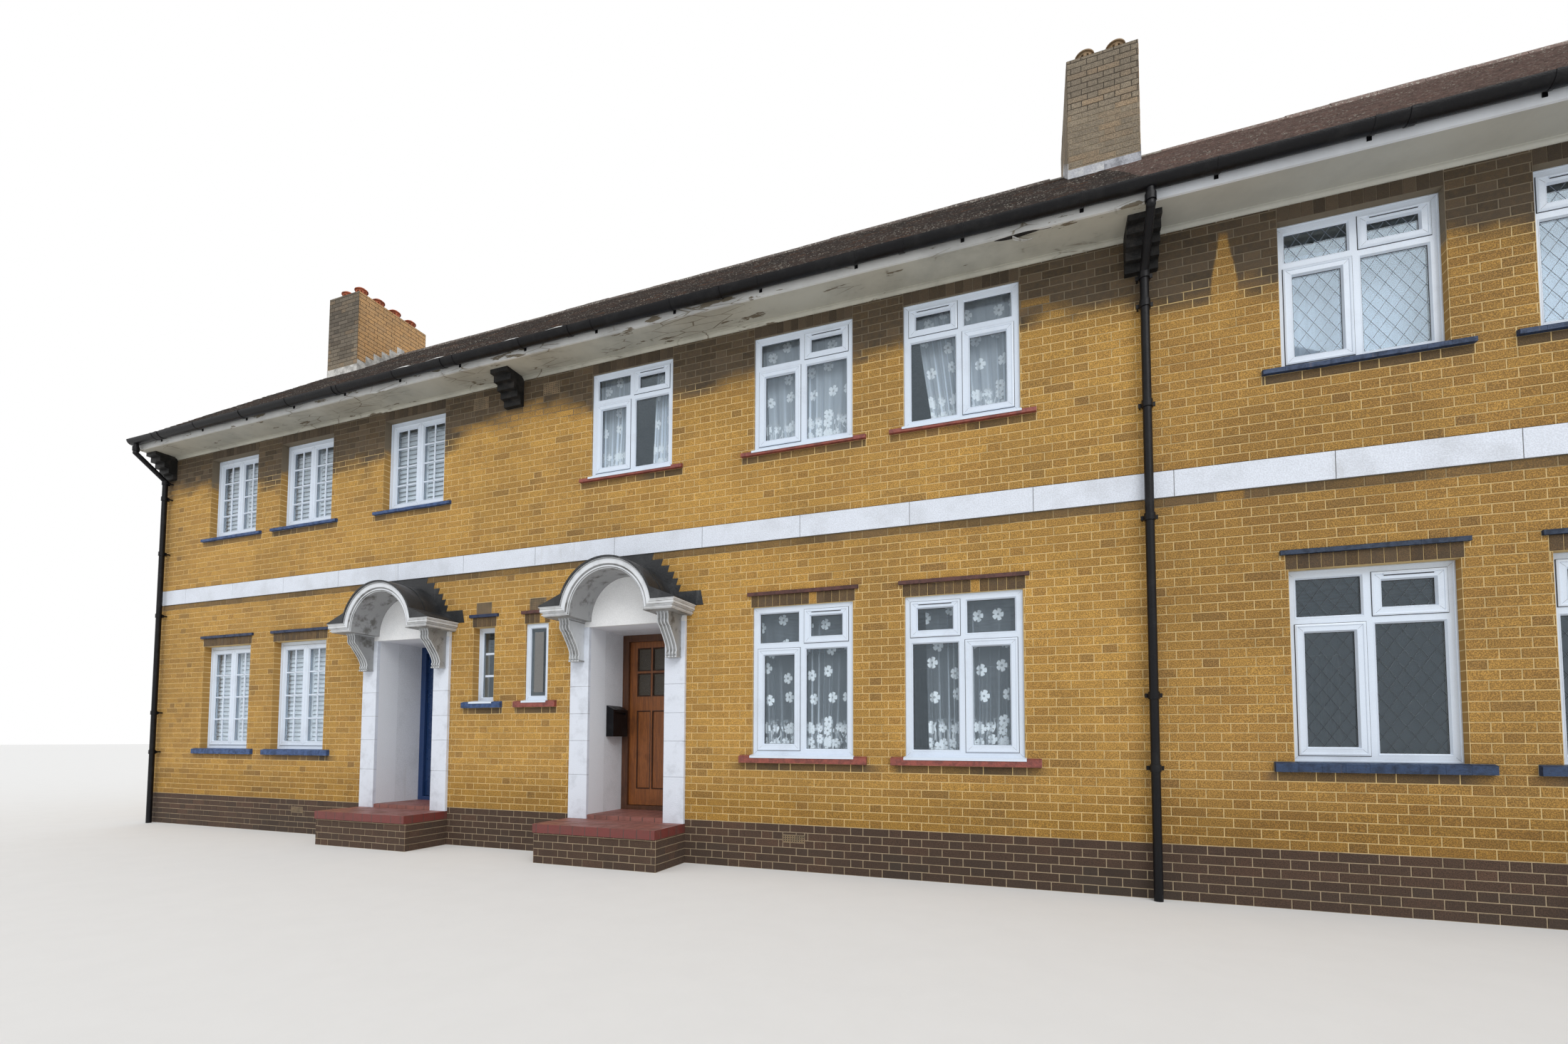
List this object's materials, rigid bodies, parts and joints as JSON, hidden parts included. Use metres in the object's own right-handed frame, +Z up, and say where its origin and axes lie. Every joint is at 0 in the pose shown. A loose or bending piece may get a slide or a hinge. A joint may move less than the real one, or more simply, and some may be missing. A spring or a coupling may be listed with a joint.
{
  "type": "terraced house row",
  "caption": "Row of brick terraced houses with barrel-hooded white porches, a white band, casement windows and hinged front doors.",
  "frame": {"origin": "on the ground, in the middle of the row's bounding box seen from above", "axes": "+Z up, +X along the row to the right seen from the front, -Y out of the front"},
  "size_m": [20.595, 7.844, 10.092],
  "materials": {
    "plinth": "rough brown brick",
    "front_wall_main": "rough yellow brick",
    "front_wall_side": "rough yellow brick",
    "front_wall_over_doors": "rough yellow brick",
    "front_wall_upper": "rough yellow brick, sooty under the eaves",
    "rear_wall": "rough yellow brick",
    "party_walls": "rough yellow brick",
    "band_course": "white masonry paint, chipped",
    "brick_corbels": "black painted brick",
    "tile_creasings": "red clay tile",
    "window_sills": "red clay tile",
    "air_bricks": "unglazed clay",
    "ground_floor": "boards",
    "first_floor": "boards",
    "ceiling": "plaster",
    "lobby_walls": "white paint",
    "roof_front": "plain clay tiles with lichen",
    "roof_rear": "plain clay tiles with lichen",
    "ridge_tiles": "clay",
    "soffits": "peeling off-white paint",
    "fascias": "flaking white paint",
    "gutters": "black paint",
    "downpipes": "black paint",
    "chimney_stacks": "sooty yellow brick",
    "chimney_pots": "unglazed clay",
    "chimney_flashings": "weathered lead",
    "window_frames": "white",
    "window_sashes": "white",
    "window_glass": "clear",
    "porch_pilasters": "white paint",
    "porch_lintels": "white paint",
    "porch_arches": "white paint",
    "porch_hoods": "black lead",
    "porch_cornices": "white paint, weathered",
    "porch_consoles": "white paint",
    "hood_flashings": "black lead",
    "porch_steps": "brown brick",
    "step_tiles": "red quarry tile",
    "door_frames": "white paint",
    "door_left": "blue paint",
    "door_middle": "brown varnish",
    "door_right": "white paint",
    "door_glass_left": "patterned",
    "door_glass_middle": "patterned",
    "letter_box": "black"
  },
  "bodies": {
    "root": {"plinth": "plinth", "front_wall_main": "front_wall_main", "front_wall_side": "front_wall_side", "front_wall_over_doors": "front_wall_over_doors", "front_wall_upper": "front_wall_upper", "rear_wall": "rear_wall", "party_walls": "party_walls", "band_course": "band_course", "brick_corbels": "brick_corbels", "tile_creasings": "tile_creasings", "window_sills": "window_sills", "air_bricks": "air_bricks", "ground_floor": "ground_floor", "first_floor": "first_floor", "ceiling": "ceiling", "lobby_walls": "lobby_walls", "roof_front": "roof_front", "roof_rear": "roof_rear", "ridge_tiles": "ridge_tiles", "soffits": "soffits", "fascias": "fascias", "gutters": "gutters", "downpipes": "downpipes", "chimney_stacks": "chimney_stacks", "chimney_pots": "chimney_pots", "chimney_flashings": "chimney_flashings", "window_frames": "window_frames", "window_sashes": "window_sashes", "window_glass": "window_glass", "porch_pilasters": "porch_pilasters", "porch_lintels": "porch_lintels", "porch_arches": "porch_arches", "porch_hoods": "porch_hoods", "porch_cornices": "porch_cornices", "porch_consoles": "porch_consoles", "hood_flashings": "hood_flashings", "porch_steps": "porch_steps", "step_tiles": "step_tiles", "door_frames": "door_frames", "door_right": "door_right", "letter_box": "letter_box"},
    "door_left": {"door_left": "door_left", "door_glass_left": "door_glass_left"},
    "door_middle": {"door_middle": "door_middle", "door_glass_middle": "door_glass_middle"}
  },
  "joints": [
    {"name": "door_left_hinge", "type": "hinge", "parent": "root", "child": "door_left", "pos_m": [-4.6285, -2.585, 1.5], "axis": [0, 0, -1], "range_deg": [0, 90]},
    {"name": "door_middle_hinge", "type": "hinge", "parent": "root", "child": "door_middle", "pos_m": [-2.1615, -2.585, 1.5], "axis": [0, 0, 1], "range_deg": [0, 90]}
  ]
}
